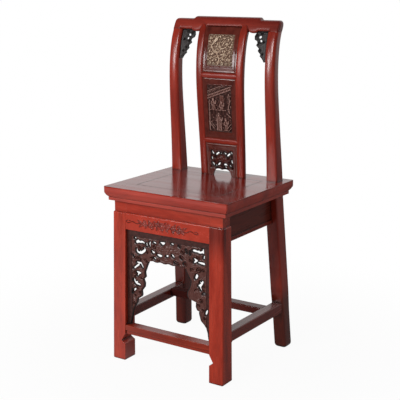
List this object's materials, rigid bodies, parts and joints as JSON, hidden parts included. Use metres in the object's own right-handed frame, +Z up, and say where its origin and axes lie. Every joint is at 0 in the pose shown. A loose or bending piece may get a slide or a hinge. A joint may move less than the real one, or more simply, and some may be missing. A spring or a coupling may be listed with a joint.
{
  "type": "chair",
  "caption": "Upright side chair in red lacquer: square mitred seat, curved back posts with a panelled splat, carved fretwork under the front apron and stretchers near the floor.",
  "frame": {"origin": "on the floor, under the middle of the chair's bounding box", "axes": "+Z up; the sitter faces -Y; +X to the right of someone looking at the front"},
  "size_m": [0.397, 0.3758, 0.9485],
  "materials": {
    "red_lacquer": "gloss lacquer",
    "dark_lacquer": "gloss lacquer",
    "fretwork_brown": "satin lacquer",
    "bracket_black": "satin lacquer",
    "gilded_carving": "worn gilding",
    "dark_carving": "satin lacquer",
    "bare_wood": "plain wood"
  },
  "bodies": {
    "root": {"back_apron": "dark_lacquer", "back_post_left": "red_lacquer", "back_post_right": "red_lacquer", "back_stretcher": "red_lacquer", "crest_bracket_left": "bracket_black", "crest_bracket_right": "bracket_black", "crest_rail": "red_lacquer", "fretwork_side_left": "fretwork_brown", "fretwork_side_right": "fretwork_brown", "fretwork_top": "fretwork_brown", "front_apron": "red_lacquer", "front_leg_left": "red_lacquer", "front_leg_right": "red_lacquer", "front_stretcher": "red_lacquer", "front_waist": "red_lacquer", "seat_batten": "bare_wood", "seat_panel": "red_lacquer", "seat_rail_back": "red_lacquer", "seat_rail_front": "red_lacquer", "seat_rail_left": "red_lacquer", "seat_rail_right": "red_lacquer", "side_apron_left": "dark_lacquer", "side_apron_right": "dark_lacquer", "side_stretcher_left": "red_lacquer", "side_stretcher_right": "red_lacquer", "splat_carving_middle": "dark_carving", "splat_carving_top": "gilded_carving", "splat_panel_bottom": "dark_lacquer", "splat_panel_middle": "dark_lacquer", "splat_panel_top": "dark_lacquer", "splat_rail_lower": "red_lacquer", "splat_rail_upper": "red_lacquer", "splat_stile_left": "red_lacquer", "splat_stile_right": "red_lacquer"}
  },
  "joints": []
}
